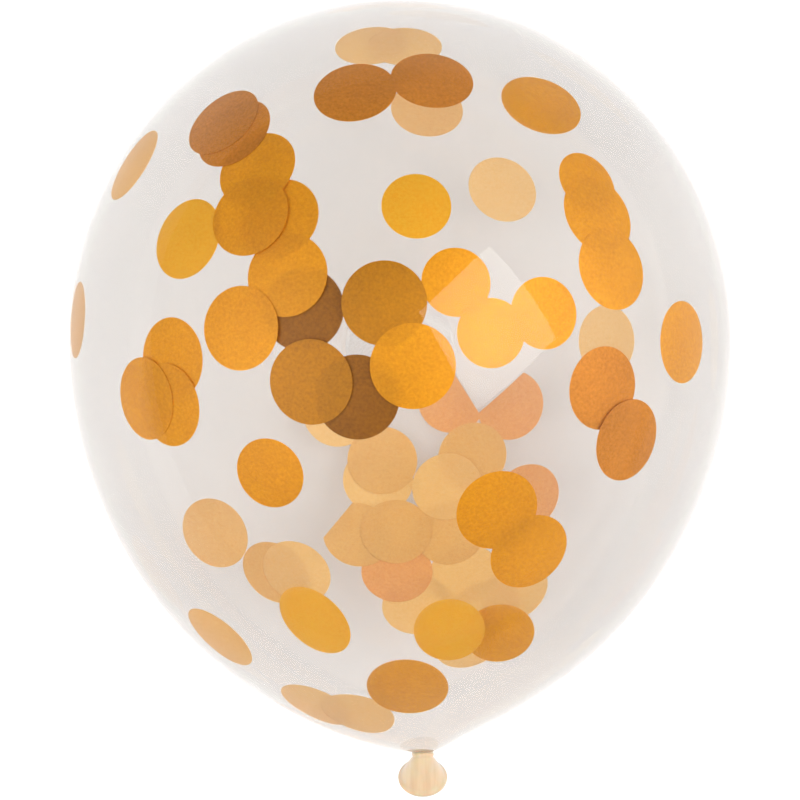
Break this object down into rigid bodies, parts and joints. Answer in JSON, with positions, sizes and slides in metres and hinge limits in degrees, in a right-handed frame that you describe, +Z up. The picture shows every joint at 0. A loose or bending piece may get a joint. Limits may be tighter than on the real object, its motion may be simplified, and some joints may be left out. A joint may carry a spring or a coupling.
{
  "type": "confetti balloon",
  "caption": "Round party balloon of clear latex, blown up and tied, with a short flared tail, round metallic confetti sealed inside, lying on its side.",
  "frame": {"origin": "on the surface that the balloon lies on, under the middle of its length and width", "axes": "+Y from the tied neck to the crown, +Z up, +X to the right when seen from above with the crown at the top"},
  "size_m": [0.3, 0.3656, 0.2974],
  "materials": {
    "clear_latex": "clear, slightly milky, glossy latex film",
    "gold_foil": "fine-grained metallic gold foil, for the confetti that is sealed inside"
  },
  "bodies": {
    "root": {"latex_balloon": "clear_latex"}
  },
  "joints": []
}
